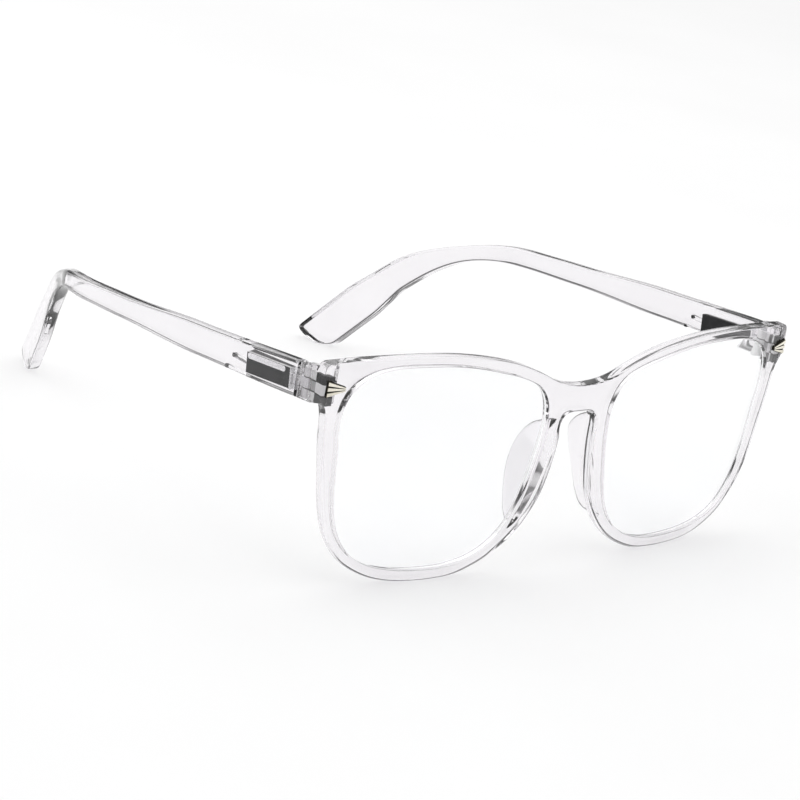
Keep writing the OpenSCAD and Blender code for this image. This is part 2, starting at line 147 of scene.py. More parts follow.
OPENING = [
    (63.2, 0), (63.7, 3.8), (63.6, 7.6), (62.6, 11.2), (60.2, 14.2), (56.8, 16.1), (53, 17.1),
    (49.2, 17.5), (44, 17.6), (38.5, 17.5), (33.7, 17.1), (29.2, 16.4), (24.4, 15.4), (20.5, 14.5),
    (17.0, 13.4), (13.8, 11.9), (11.4, 9.6), (10.1, 6.7), (9.6, 3.4), (9.7, 0), (10.1, -3.4),
    (10.7, -6.8), (11.4, -10.2), (12.2, -13.7), (13.4, -17.4), (15.2, -20.9), (17.7, -24),
    (20.8, -26.4), (24.4, -28.1), (28.2, -29.1), (32.1, -29.6), (36, -29.7), (39.9, -29.6),
    (43.8, -29.3), (47.8, -28.6), (51.8, -27.4), (55.4, -25.3), (58.2, -22.2), (60.2, -18.6),
    (61.4, -14.7), (62.1, -10.8), (62.5, -7.1), (62.8, -3.5),
]


OUTLINE_STEP = 0.7
LENS_STEP = 1.0


def front_outline():
    """The whole front's outline, anticlockwise seen from the wearer's side."""
    other_half = [(-u, v) for u, v in reversed(HALF_OUTLINE[1:-1])]
    clockwise = spline(HALF_OUTLINE + other_half, OUTLINE_STEP)
    return list(reversed(clockwise))


# ---- solids -----------------------------------------------------------------------------------


def make_mesh(name, verts, faces, sharp_deg=40):
    mesh = bpy.data.meshes.new(name)
    mesh.from_pydata([tuple(v) for v in verts], [], faces)
    mesh.validate()
    obj = bpy.data.objects.new(name, mesh)
    bpy.context.scene.collection.objects.link(obj)
    finish_mesh(obj, sharp_deg)
    return obj


def finish_mesh(obj, sharp_deg=40):
    """Outward normals, smooth shading, and sharp edges over an angle."""
    bm = bmesh.new()
    bm.from_mesh(obj.data)
    bmesh.ops.remove_doubles(bm, verts=bm.verts, dist=1e-7)
    bmesh.ops.recalc_face_normals(bm, faces=bm.faces)
    limit = math.radians(sharp_deg)
    for f in bm.faces:
        f.smooth = True
    for e in bm.edges:
        e.smooth = len(e.link_faces) != 2 or e.calc_face_angle() < limit
    bm.to_mesh(obj.data)
    bm.free()


def round_edge(inset, depth, steps=5, flat=0.15):
    """Quarter round from the face to the wall, as (inset, depth) steps, with a narrow flat first."""
    arc = [(inset * (1 - math.sin(a)), depth * (1 - math.cos(a)))
           for a in (math.pi / 2 * k / steps for k in range(steps + 1))]
    return [(inset + flat, 0.0)] + arc


def plate(name, loops, to_space, sharp_deg=40):
    """Closed slab.

    Each loop is (points, side, profile): side is 1 for the outline and -1 for a hole, and profile(i) gives
    the (inset, depth) rings from the front face to the back face at point i.
    """
    verts, faces, front, back = [], [], [], []
    for points, side, profile in loops:
        n = len(points)
        rings = None
        for i, p in enumerate(points):
            t = points[(i + 1) % n] - points[i - 1]
            inward = Vector((-t.y, t.x)).normalized() * side
            steps = profile(i)
            if rings is None:
                rings = [[] for _ in steps]
            for k, (inset, depth) in enumerate(steps):
                q = p + inward * inset
                rings[k].append(len(verts))
                verts.append((q.x, q.y, depth))
        for a, b in zip(rings, rings[1:]):
            for i in range(n):
                j = (i + 1) % n
                faces.append((a[i], a[j], b[j], b[i]))
        front.append(rings[0])
        back.append(rings[-1])
    for group in (front, back):
        flat, edges, index = [], [], []
        for ring in group:
            start = len(flat)
            flat += [Vector(verts[i][:2]) for i in ring]
            index += ring
            edges += [(start + k, start + (k + 1) % len(ring)) for k in range(len(ring))]
        depth = verts[group[0][0]][2]
        got, _, tris, origin, _, _ = geometry.delaunay_2d_cdt(flat, edges, [], 0, 1e-6)
        walls = np.array([(*flat[a], *flat[b]) for a, b in edges])
        tris = [t for t in tris if inside(sum((got[k] for k in t), Vector((0, 0))) / 3, walls)]
        number = {}
        for k, source in enumerate(origin):
            if source:
                number[k] = index[source[0]]
            else:
                number[k] = len(verts)
                verts.append((got[k].x, got[k].y, depth))
        faces += [tuple(number[k] for k in t) for t in tris]
    return make_mesh(name, [to_space(*v) for v in verts], faces, sharp_deg)


def inside(point, walls):
    """Even-odd test of a 2D point against wall segments (ax, ay, bx, by)."""
    ax, ay, bx, by = walls.T
    crossing = (ay > point.y) != (by > point.y)
    with np.errstate(divide="ignore", invalid="ignore"):
        at = ax + (point.y - ay) * (bx - ax) / (by - ay)
    return int(np.count_nonzero(crossing & (at > point.x))) % 2 == 1


def sweep(name, sections, to_space=place, sharp_deg=40):
    """Closed solid through a list of equal closed sections."""
    verts = [to_space(*p) for s in sections for p in s]
    m = len(sections[0])
    faces = [tuple(range(m - 1, -1, -1)), tuple(range(len(verts) - m, len(verts)))]
    for i in range(len(sections) - 1):
        for j in range(m):
            k = (j + 1) % m
            faces.append((i * m + j, i * m + k, (i + 1) * m + k, (i + 1) * m + j))
    return make_mesh(name, verts, faces, sharp_deg)


def combine(target, tool, operation, sharp_deg=40):
    """Boolean of tool into target, which keeps its name. The tool goes."""
    bpy.context.view_layer.update()
    mod = target.modifiers.new("combine", "BOOLEAN")
    mod.operation = operation
    mod.solver = "EXACT"
    mod.object = tool
    graph = bpy.context.evaluated_depsgraph_get()
    result = bpy.data.meshes.new_from_object(target.evaluated_get(graph))
    target.modifiers.clear()
    old = target.data
    target.data = result
    result.name = target.name
    bpy.data.meshes.remove(old)
    bpy.data.objects.remove(tool)
    finish_mesh(target, sharp_deg)


def mirrored(obj, name):
    """Copy for the other side of the glasses."""
    copy = bpy.data.objects.new(name, obj.data.copy())
    bpy.context.scene.collection.objects.link(copy)
    copy.data.transform(Matrix.Scale(-1, 4, (1, 0, 0)))
    copy.data.flip_normals()
    return copy


def smoothstep(a, b, x):
    t = min(1.0, max(0.0, (x - a) / (b - a)))
    return t * t * (3 - 2 * t)


# ---- front ------------------------------------------------------------------------------------


def rim_profile(points):
    """Outer edge: narrow round at the brow, a broad bevel along the front's lower edge."""

    def profile(i):
        u, v = abs(points[i].x), points[i].y
        low = smoothstep(-14, -27, v) * smoothstep(9, 20, u)
        arch = smoothstep(6.5, 4.5, u) * smoothstep(8, 5, v) * smoothstep(-1, 2, v)
        inset = 0.5 + 1.15 * low + 0.6 * arch
        depth = 0.5 + 0.9 * low + 0.9 * arch
        front = round_edge(inset, depth)
        rear = [(a, RIM_DEPTH - b) for a, b in reversed(round_edge(0.6, 0.6))]
        return front + rear

    return profile


def opening_profile(_):
    """Inner edge, which the lens meets between its front and back rounds."""
    front = round_edge(0.3, 0.3, 4)
    rear = [(a, RIM_DEPTH - b) for a, b in reversed(front)]
    return front + rear


PAD_ROOT = [(6.2, 2.2, 35.9), (6.2, 2.2, 33.0), (6.4, 2.2, 30.2), (6.8, 2.2, 26.8), (7.5, 2.2, 23.0),
            (8.7, 2.2, 19.0), (10.3, 2.2, 15.6), (12.0, 2.2, 12.9), (13.9, 2.2, 10.8)]
PAD_EDGE = [(6.6, 3.7, 36.0), (7.0, 7.4, 33.8), (7.6, 10.2, 30.6), (8.9, 11.0, 26.8), (10.2, 10.6, 22.8),
            (11.0, 9.5, 18.4), (11.5, 8.2, 14.6), (12.2, 6.4, 11.6), (14.3, 3.6, 10.2)]


PAD_ROWS = 30
PAD_HALF_ROOT, PAD_HALF_EDGE = 1.15, 0.65
PAD_SHARES = (0.0, 0.25, 0.5, 0.75, 0.92)


def nose_pad():
    """Left nose pad: a thin blade from the rim back to a round edge."""
    roots = spline([Vector(p) for p in PAD_ROOT], 1.0, closed=False)
    edges = spline([Vector(p) for p in PAD_EDGE], 1.0, closed=False)
    sections = []
    for k in range(PAD_ROWS + 1):
        t = k / PAD_ROWS
        root = along(roots, t)
        blade = along(edges, t) - root
        flat = Vector((blade.x, blade.y, 0)).normalized()
        normal = Vector((flat.y, -flat.x, 0))
        round_share = PAD_HALF_EDGE / blade.length

        def on_face(share, face):
            half = PAD_HALF_ROOT + (PAD_HALF_EDGE - PAD_HALF_ROOT) * share
            return root + blade * share * (1 - round_share * 0.6) + normal * half * face

        section = [on_face(share, 1) for share in PAD_SHARES]
        for a in (60, 30, 0, -30, -60):
            c, s = math.cos(math.radians(a)), math.sin(math.radians(a))
            section.append(root + blade * (1 - round_share * (1 - c)) + normal * PAD_HALF_EDGE * s)
        section += [on_face(share, -1) for share in reversed(PAD_SHARES)]
        sections.append([tuple(p) for p in section])
    return sweep("pad", sections)


def along(points, t):
    """Point at a share of the way through a list of points."""
    x = t * (len(points) - 1)
    i = min(int(x), len(points) - 2)
    return points[i].lerp(points[i + 1], x - i)


END_PLAN = [(64.9, 6.4), (68.9, 7.6), (69.33, 8.4), (70.3, 13.2), (70.3, 13.5), (70.1, 13.66), (69.0, 13.88),
            (68.78, 13.8), (68.7, 13.6), (68.7, 11.5), (68.5, 11.3), (65.7, 11.3), (64.9, 10.5)]


END_LOW, END_HIGH = 42.0, 50.0       # heights of the block's underside and top at the joint
END_LOW_RISE, END_HIGH_RISE = 0.7, 0.9
END_STEP = 1.2
END_EDGE_R, END_EDGE_FLAT = 0.16, 0.03


def end_block():
    """Part of the front that runs back from its corner to the joint with the temple."""
    plan = []
    for i, a in enumerate(END_PLAN):
        b = END_PLAN[(i + 1) % len(END_PLAN)]
        plan += [a] + between(a, b, END_STEP)
    plan = [Vector(p) for p in plan]

    def to_space(x, y, w):
        low = END_LOW + END_LOW_RISE * smoothstep(10.5, 6.5, y)
        high = END_HIGH + END_HIGH_RISE * smoothstep(12.5, 7.0, y)
        return place(x, y, low + (high - low) * w)

    def profile(_):
        edge = round_edge(END_EDGE_R, END_EDGE_R, 4, END_EDGE_FLAT)
        front = [(a, b / (END_HIGH - END_LOW)) for a, b in edge]
        rear = [(a, 1 - b) for a, b in reversed(front)]
        return front + rear

    return plate("end_block", [(plan, 1, profile)], to_space)


def build_front():
    """The whole clear front: rims, bridge, nose pads and end blocks in one shell."""
    outline = front_outline()
    hole = spline(OPENING, OUTLINE_STEP)
    other = [Vector((-p.x, p.y)) for p in reversed(hole)]
    loops = [(outline, 1, rim_profile(outline)), (hole, -1, opening_profile), (other, -1, opening_profile)]
    body = plate("front_shell", loops, front_point)
    for make in (nose_pad, end_block):
        part = make()
        twin = mirrored(part, part.name + "_twin")
        combine(body, part, "UNION")
        combine(body, twin, "UNION")
    return body


def build_lens(side):
    """Curved lens plate, side 1 for the left and -1 for the right."""
    hole = spline(OPENING, LENS_STEP)
    centre = LENS_CENTRE
    layers = []
    for share in [k / 10 for k in range(1, 10)] + [0.985]:
        layers.append([centre + (p - centre) * share for p in hole])
    verts, faces = [front_point(side * centre.x, centre.y, LENS_FRONT)], []
    n = len(hole)

    def ring(points, w):
        start = len(verts)
        verts.extend(front_point(side * p.x, p.y, w) for p in points)
        return [start + i for i in range(n)]

    front = [ring(layer, LENS_FRONT) for layer in layers]
    grown = []
    for i, p in enumerate(hole):
        t = hole[(i + 1) % n] - hole[i - 1]
        grown.append(p - Vector((t.y, -t.x)).normalized() * LENS_BITE)
    edge = [ring(grown, LENS_FRONT + LENS_CHAMFER), ring(grown, LENS_BACK - LENS_CHAMFER)]
    back = [ring(layer, LENS_BACK) for layer in reversed(layers)]
    last = len(verts)
    verts.append(front_point(side * centre.x, centre.y, LENS_BACK))
    rings = front + edge + back
    for i in range(n):
        j = (i + 1) % n
        faces.append((0, rings[0][i], rings[0][j]))
        faces.append((last, rings[-1][j], rings[-1][i]))
    for a, b in zip(rings, rings[1:]):
        for i in range(n):
            j = (i + 1) % n
            faces.append((a[i], b[i], b[j], a[j]))
    return make_mesh(("left" if side > 0 else "right") + "_lens_shell", verts, faces, 25)


# ---- temples ----------------------------------------------------------------------------------


def arc_path(start, heading, legs, step=0.5):
    """Points (a, b, heading, station) along arcs given as (length, turn in degrees)."""
    a, b, h, s = *start, math.radians(heading), 0.0
    out = [(a, b, h, s)]
    for length, turn in legs:
        n = max(1, round(length / step))
        dh = math.radians(turn) / n
        for _ in range(n):
            a += length / n * math.cos(h + dh / 2)
            b += length / n * math.sin(h + dh / 2)
            h += dh
            s += length / n
            out.append((a, b, h, s))
    return out


PATH_Y, PATH_Z = 10.0, 46.1          # start of the temple's paths
BEND_R, BEND_TURN = 47.0, 45.2
STRAIGHT_LEN, TAIL_LEN = 90.2, 24.75
TEMPLE_HEADING, TEMPLE_SLOPE = 86, -4.75    # degrees, 90 is straight back
JOINT_INSET = 0.2
PLAN = arc_path((JOINT_HALF_W - TEMPLE_T / 2 - JOINT_INSET, PATH_Y), TEMPLE_HEADING, [
    (83.5, 7.3), (17, 25.8), (75, -13),
])
SIDE = arc_path((PATH_Y, PATH_Z), TEMPLE_SLOPE, [
    (STRAIGHT_LEN, 0), (BEND_R * math.radians(BEND_TURN), -BEND_TURN), (TAIL_LEN, 0),
])
PADDLE_ROUND, PADDLE_SKEW, PADDLE_POWER = 0.7, 0.5, 0.8
PADDLE_STATIONS = 16
HALF_HEIGHT = [(0, 3.9), (35, 3.5), (65, 2.6), (82, 2.4), (98, 2.05), (120, 3.6), (134, 4.7)]


def half_at(s):
    """Half of the temple's height at a station of its side path."""
    s -= TEMPLE_LEAD
    if s <= HALF_HEIGHT[0][0]:
        return HALF_HEIGHT[0][1]
    for (s0, h0), (s1, h1) in zip(HALF_HEIGHT, HALF_HEIGHT[1:]):
        if s <= s1:
            return h0 + (h1 - h0) * smoothstep(s0, s1, s)
    return HALF_HEIGHT[-1][1]


def plan_at(y):
    """Centre line's place across, and the heading's sine there."""
    i = 1
    while i < len(PLAN) - 1 and PLAN[i][1] < y:
        i += 1
    a, b = PLAN[i - 1], PLAN[i]
    t = (y - a[1]) / (b[1] - a[1])
    return a[0] + (b[0] - a[0]) * t, math.sin(a[2] + (b[2] - a[2]) * t)


def rounded_section(half_h, half_t, r, steps=4):
    """Rounded rectangle (up, across), anticlockwise."""
    r = min(r, half_h * 0.98, half_t * 0.98)
    out = []
    for cx, cy, a0 in ((1, 1, 0), (-1, 1, 90), (-1, -1, 180), (1, -1, 270)):
        for k in range(steps + 1):
            a = math.radians(a0 + 90 * k / steps)
            out.append((cx * (half_h - r) + r * math.cos(a), cy * (half_t - r) + r * math.sin(a)))
    return out


def paddle_end(tip, turn):
    """Point of the paddle's end outline, along the temple and across it."""
    s, c = math.sin(turn), abs(math.cos(turn))
    return (tip * (PADDLE_ROUND * c**PADDLE_POWER + PADDLE_SKEW * s),
            tip * math.copysign(abs(s) ** PADDLE_POWER, s))


def paddle_stations():
    """Stations through the paddle's slanted round end, as (path point, half height, half thickness)."""
    last = SIDE[-1]
    tip = half_at(last[3])
    outline = np.array([paddle_end(tip, math.radians(a)) for a in range(-90, 91)])
    toe = int(outline[:, 0].argmax())
    lower, upper = outline[: toe + 1], outline[toe:][::-1]
    start, end = lower[0, 0], lower[-1, 0]
    c, s = math.cos(last[2]), math.sin(last[2])
    stations = []
    for k in range(PADDLE_STATIONS + 1):
        ahead = start + (end - start) * math.sin(math.radians(89 * k / PADDLE_STATIONS))
        bottom = float(np.interp(ahead, lower[:, 0], lower[:, 1]))
        top = float(np.interp(ahead, upper[:, 0], upper[:, 1])) if ahead > upper[0, 0] else tip
        mid = (top + bottom) / 2
        p = (last[0] + ahead * c - mid * s, last[1] + ahead * s + mid * c, last[2], last[3] + ahead)
        left_over = min(TEMPLE_EDGE_R, end - ahead)
        round_off = math.sqrt(TEMPLE_EDGE_R**2 - (TEMPLE_EDGE_R - left_over) ** 2)
        stations.append((p, (top - bottom) / 2, TEMPLE_T / 2 - TEMPLE_EDGE_R + round_off))
    return stations


def build_temple():
    """Left temple, one smooth bar with a paddle that ends in a slanted round."""
    ending = paddle_stations()
    last_s = ending[0][0][3] - 0.2
    path = [p for p in SIDE if p[0] > JOINT_Y and p[3] < last_s]
    stations = [(p, half_at(p[3]), TEMPLE_T / 2) for p in path[::2]] + ending
    sections = []
    for i, (p, half_h, half_t) in enumerate(stations):
        section = []
        for up, across in rounded_section(half_h, half_t, TEMPLE_EDGE_R):
            y = p[0] - up * math.sin(p[2])
            z = p[1] + up * math.cos(p[2])
            if i == 0:
                y = JOINT_Y
            x, sine = plan_at(y)
            section.append((x + across / sine, max(y, JOINT_Y), z))
        sections.append(section)
    body = sweep("temple_shell", sections)
    for cutter in temple_cutters():
        combine(body, cutter, "DIFFERENCE")
    return body


def in_case(x, y, z):
    """From the spring case's own frame, hinge axis at the origin and y along the case."""
    c, s = math.cos(CASE_SLOPE), math.sin(CASE_SLOPE)
    return place(HINGE[0] + x, HINGE[1] + y * c + z * s, HINGE[2] - y * s + z * c)


def slot_bar(name, span_y, z, r, span_x, to_space, turn=20):
    """Round-ended bar along y, standing across x."""
    loop = []
    for end, first in ((span_y[1] - r, 0), (span_y[0] + r, 180)):
        for a in range(first, first + 181, turn):
            loop.append((end + r * math.sin(math.radians(a)), z + r * math.cos(math.radians(a))))
    return sweep(name, [[(x, y, height) for y, height in loop] for x in span_x], to_space)


FINGERS = (("finger_a", 5.2, 43.6), ("finger_b", 7.2, 40.6))    # length and height
FINGER_R = 0.5
FINGER_Y = HINGE[1] + CASE_MOUTH + CASE_LEN - 0.3
FINGER_X = (HINGE[0] - 1.5, 69.6)
KNUCKLE_ROOM_Z = (38, 53)
NECK_X, NECK_Y, NECK_Z = (-3.0, 2.0), (0.8, 3.6), (-1.15, 1.15)    # room for the slider's neck


def temple_cutters():
    """Tools for the finger slots behind the spring case and the room around the hinge."""
    for name, length, z in FINGERS:
        yield slot_bar(name, (FINGER_Y, FINGER_Y + length), z, FINGER_R, FINGER_X, place)
    ring = [(HINGE[0] + KNUCKLE_ROOM * math.cos(math.radians(a)),
             HINGE[1] + KNUCKLE_ROOM * math.sin(math.radians(a))) for a in range(0, 360, 10)]
    yield sweep("knuckle_room", [[(x, y, z) for x, y in ring] for z in KNUCKLE_ROOM_Z])
    box = [(NECK_X[i], NECK_Y[j]) for i, j in ((0, 0), (1, 0), (1, 1), (0, 1))]
    yield sweep("neck_room", [[(x, y, z) for x, y in box] for z in NECK_Z], in_case)


WINDOW_R, WINDOW_Y, WINDOW_Z = 0.62, (5.4, 18.2), 1.5
WINDOW_X = (CASE_MID + CASE_T / 2 - 0.2, CASE_MID + CASE_T / 2 + 0.06)


def case_window():
    """Bright bar let into the outer face of the left spring case."""
    return slot_bar("left_case_window", WINDOW_Y, WINDOW_Z, WINDOW_R, WINDOW_X, in_case, 15)


# ---- materials --------------------------------------------------------------------------------


class Nodes:
    """Short way to build a material's node tree."""

    def __init__(self, name):
        self.material = bpy.data.materials.new(name)
        self.material.use_nodes = True
        self.tree = self.material.node_tree
        self.tree.nodes.clear()
        self.output = self.add("ShaderNodeOutputMaterial")
        self.coords = self.add("ShaderNodeTexCoord").outputs["Object"]

    def add(self, kind, inputs=None, **settings):
        node = self.tree.nodes.new(kind)
        for key, value in settings.items():
            setattr(node, key, value)
        for key, value in (inputs or {}).items():
            if isinstance(value, bpy.types.NodeSocket):
                self.tree.links.new(value, node.inputs[key])
            else:
                node.inputs[key].default_value = value
        return node

    def noise(self, scale, detail=3.0, roughness=0.5, stretch=(1, 1, 1)):
        mapped = self.add("ShaderNodeMapping", {"Vector": self.coords, "Scale": stretch})
        return self.add("ShaderNodeTexNoise", {
            "Vector": mapped.outputs["Vector"], "Scale": scale, "Detail": detail, "Roughness": roughness,
        }).outputs["Fac"]

    def spread(self, value, low, high, start=0.3, end=0.7):
        return self.add("ShaderNodeMapRange", {
            "Value": value, "From Min": start, "From Max": end, "To Min": low, "To Max": high,
        }).outputs["Result"]

    def bump(self, height, strength, distance):
        return self.add("ShaderNodeBump", {
            "Height": height, "Strength": strength, "Distance": distance,
        }).outputs["Normal"]

    def show(self, shader):
        self.tree.links.new(shader, self.output.inputs["Surface"])
        return self.material


def blend(m, factor, a, b, mode="MIX"):
    """Colour between a and b, each a socket or a plain value."""
    node = m.add("ShaderNodeMix", data_type="RGBA", blend_type=mode)
    for socket, value in ((node.inputs["Factor"], factor), (node.inputs[6], a), (node.inputs[7], b)):
        if isinstance(value, bpy.types.NodeSocket):
            m.tree.links.new(value, socket)
        else:
            socket.default_value = value
    return node.outputs[2]


def colour_mix(m, factor, a, b):
    return blend(m, factor, (*a, 1), (*b, 1))


def clear_material(name, low, high, ior, rough, specular, shade, flow=0.00001):
    """Clear moulded plastic: faint tint that drifts, slight waviness, and light let through in shadows."""
    m = Nodes(name)
    tint = colour_mix(m, m.spread(m.noise(60), 0, 1), low, high)
    roughness = m.spread(m.noise(900, 4), *rough)
    normal = m.bump(m.noise(220, 2, 0.4, (1, 0.35, 1)), 0.6, flow)
    glass = m.add("ShaderNodeBsdfPrincipled", {
        "Base Color": tint, "Roughness": roughness, "Normal": normal, "IOR": ior,
        "Transmission Weight": 1.0, "Specular IOR Level": specular,
    })
    through = m.add("ShaderNodeBsdfTransparent", {"Color": (*shade, 1)})
    ray = m.add("ShaderNodeLightPath")
    mix = m.add("ShaderNodeMixShader", {
        0: ray.outputs["Is Shadow Ray"], 1: glass.outputs[0], 2: through.outputs[0],
    })
    return m.show(mix.outputs[0])


def metal_material(name, dark, light, rough, scale, stretch=(1, 1, 1), metallic=1.0):
    """Metal with a fine grain between two tones."""
    m = Nodes(name)
    grain = m.noise(scale, 4, 0.6, stretch)
    base = colour_mix(m, m.spread(grain, 0, 1), dark, light)
    roughness = m.spread(m.noise(scale * 0.4, 3), *rough)
    normal = m.bump(grain, 0.4, 0.00001)
    metal = m.add("ShaderNodeBsdfPrincipled", {
        "Base Color": base, "Metallic": metallic, "Roughness": roughness, "Normal": normal,
    })
    return m.show(metal.outputs[0])


def in_frame(m, origin, direction):
    """Distance in mm along a direction from an origin, with both sides of the glasses folded together."""
    split = m.add("ShaderNodeSeparateXYZ", {"Vector": m.coords})
    across = m.add("ShaderNodeMath", {0: split.outputs["X"]}, operation="ABSOLUTE")
    folded = m.add("ShaderNodeCombineXYZ", {
        "X": across.outputs[0], "Y": split.outputs["Y"], "Z": split.outputs["Z"],
    })
    moved = m.add("ShaderNodeVectorMath", {0: folded.outputs[0], 1: origin}, operation="SUBTRACT")
    per_mm = Vector(direction) / MM
    reach = m.add("ShaderNodeVectorMath", {0: moved.outputs[0], 1: per_mm}, operation="DOT_PRODUCT")
    return reach.outputs["Value"]


def bands(m, value, low, high, stops, interpolation="CONSTANT"):
    """Colour bands over a span of a value in mm; stops are (mm, colour)."""
    share = m.add("ShaderNodeMapRange", {"Value": value, "From Min": low, "From Max": high})
    ramp = m.add("ShaderNodeValToRGB", {"Fac": share.outputs["Result"]})
    ramp.color_ramp.interpolation = interpolation
    elements = ramp.color_ramp.elements
    while len(elements) < len(stops):
        elements.new(0.5)
    for element, (at, colour) in zip(elements, stops):
        element.position = (at - low) / (high - low)
        element.color = (*colour, 1)
    return ramp.outputs["Color"]


def metal_with_painted_light(name, pattern, rough, metallic, scale):
    """Metal whose colour changes from part to part as pattern(m) says, with painted highlights and painted
    shade in it, under a fine grain.
    """
    m = Nodes(name)
    grain = m.noise(scale, 4, 0.6)
    mottle = colour_mix(m, m.spread(grain, 0, 1), (0.9, 0.9, 0.9), (1, 1, 1))
    metal = m.add("ShaderNodeBsdfPrincipled", {
        "Base Color": blend(m, 1.0, pattern(m), mottle, "MULTIPLY"),
        "Roughness": m.spread(m.noise(scale * 0.4, 3), *rough),
        "Normal": m.bump(grain, 0.25, 0.000005),
    })
    metal.inputs["Metallic"].default_value = metallic
    return m.show(metal.outputs[0])


def grey(level):
    return (level, level, level)


LEAF_BACK = -2.9                     # where the leaf ends and its knuckles begin, from the hinge axis


def hinge_painted_light(m):
    """Painted reflections and shade: bright knuckles behind a leaf with a black top, a bright middle and a
    grey foot.
    """
    height = in_frame(m, place(0, 0, HINGE[2]), (0, 0, 1))
    back = in_frame(m, place(*HINGE), (0, 1, 0))
    row = KNUCKLE_H / 2
    # painted shade: the black bands, in the gaps between knuckle rows; painted reflections: the white and
    # grey bands
    leaf = bands(m, height, -4, 4, [
        (-4, grey(0.13)), (-row - 0.3, grey(0.01)), (-row - 0.05, grey(1.0)), (row + 0.05, grey(0.012)),
    ])
    knuckles = bands(m, height, -4, 4, [
        (-4, grey(1.0)), (-row - 0.2, grey(0.012)), (-row + 0.1, grey(0.55)),
        (row - 0.1, grey(0.012)), (row + 0.2, grey(1.0)),
    ])
    step = m.add("ShaderNodeMath", {0: back, 1: LEAF_BACK}, operation="GREATER_THAN")
    return blend(m, step.outputs[0], leaf, knuckles)


def accent_ribs_and_recess_shade(m):
    """Pale brass ribs, with painted shade darkening the recessed ground between them."""
    turn = math.asin(ACCENT_AT[0] / WRAP_R)
    proud = in_frame(m, front_point(*ACCENT_AT, 0.0), (math.sin(turn), -math.cos(turn), 0))
    # painted shade: near black at the recessed ground, rising to pale brass at the rib tops
    return bands(m, proud, 0, 1, [
        (0.0, (0.02, 0.018, 0.012)), (0.42, (0.03, 0.027, 0.018)),
        (0.62, (0.62, 0.57, 0.44)), (0.7, (0.93, 0.89, 0.78)),
    ], "LINEAR")


def case_plating_and_top_highlight(m):
    """Dark plating, with a painted highlight: pale grey along the outer half of the top face."""
    c, s = math.cos(CASE_SLOPE), math.sin(CASE_SLOPE)
    height = in_frame(m, place(*HINGE), (0, s, c))
    across = in_frame(m, place(*HINGE), (1, 0, 0))
    # painted highlight: pale grey on the outer half of the top face, dark on its inner half
    painted_top_highlight = bands(m, across, -4, 6, [(-4, grey(0.02)), (0.9, grey(0.04)), (1.5, grey(0.75))], "LINEAR")
    top = m.add("ShaderNodeMath", {0: height, 1: CASE_TOP}, operation="GREATER_THAN")
    plating = colour_mix(m, m.spread(m.noise(500), 0, 1), (0.028, 0.028, 0.03), (0.038, 0.038, 0.04))
    return blend(m, top.outputs[0], plating, painted_top_highlight)


def floor_material():
    m = Nodes("floor_paint")
    base = colour_mix(m, m.spread(m.noise(9), 0, 1), grey(0.93), grey(0.95))
    paint = m.add("ShaderNodeBsdfPrincipled", {
        "Base Color": base, "Roughness": 0.9, "Specular IOR Level": 0.0,
    })
    return m.show(paint.outputs[0])


def dress(obj, material):
    obj.data.materials.clear()
    obj.data.materials.append(material)


# ---- build ------------------------------------------------------------------------------------

clear = clear_material(
    "clear_plastic", (0.885, 0.868, 0.89), (0.915, 0.9, 0.92), 1.52, (0.0, 0.03), 0.5, (0.993, 0.992, 0.995)
)
lens_clear = clear_material(
    "lens_coated", (0.985, 0.99, 1.0), (0.995, 0.998, 1.0), 1.5, (0.0, 0.004), 0.12, (0.985, 0.988, 0.995),
    0.000002
)
metals = {
    "accent": metal_with_painted_light("accent_brass", accent_ribs_and_recess_shade, (0.18, 0.34), 0.9, 900),
    "front_hinge": metal_with_painted_light("hinge_nickel", hinge_painted_light, (0.35, 0.5), 0.15, 1400),
    "hinge_screw": metal_material(
        "screw_steel", (0.4, 0.4, 0.42), (0.7, 0.7, 0.72), (0.2, 0.4), 1500, (1, 1, 6)
    ),
    "hinge_slider": metal_material(
        "slider_nickel", (0.88, 0.88, 0.89), (0.97, 0.97, 0.98), (0.35, 0.5), 1400, metallic=0.2
    ),
    "flex_spring": metal_material("spring_wire", (0.3, 0.3, 0.32), (0.5, 0.5, 0.52), (0.25, 0.4), 1600),
    "spring_collar": metal_material("collar_steel", (0.4, 0.4, 0.42), (0.6, 0.6, 0.62), (0.25, 0.4), 1500),
    "guide_bush": metal_material("bush_nickel", (0.75, 0.75, 0.76), (0.93, 0.93, 0.94), (0.2, 0.35), 1200),
    "spring_case": metal_with_painted_light("case_gunmetal", case_plating_and_top_highlight, (0.4, 0.6), 0.85, 1200),
}

front = build_front()
dress(front, clear)
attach(front, "front")
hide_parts("front_frame")

for side, sign in (("left", 1), ("right", -1)):
    lens = build_lens(sign)
    dress(lens, lens_clear)
    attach(lens, "front")
    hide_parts(side + "_lens")

window_metal = metal_material("window_nickel", (0.78, 0.78, 0.79), (0.92, 0.92, 0.93), (0.06, 0.16), 1500)
left_window = case_window()
for side, window in (("left", left_window), ("right", mirrored(left_window, "right_case_window"))):
    dress(window, window_metal)
    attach(window, side + "_temple")

left_temple = build_temple()
left_temple.name = "left_temple_shell"
right_temple = mirrored(left_temple, "right_temple_shell")
for side, temple in (("left", left_temple), ("right", right_temple)):
    dress(temple, clear)
    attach(temple, side + "_temple")
    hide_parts(side + "_temple")

for name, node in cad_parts.items():
    kind = name.split("_", 1)[1]
    if kind in metals:
        dress(node, metals[kind])
        edge = node.modifiers.new("edge", "BEVEL")
        edge.width = 0.06 * MM
        edge.segments = 2
        edge.limit_method = "ANGLE"
        edge.angle_limit = math.radians(40)

# ---- stage ------------------------------------------------------------------------------------

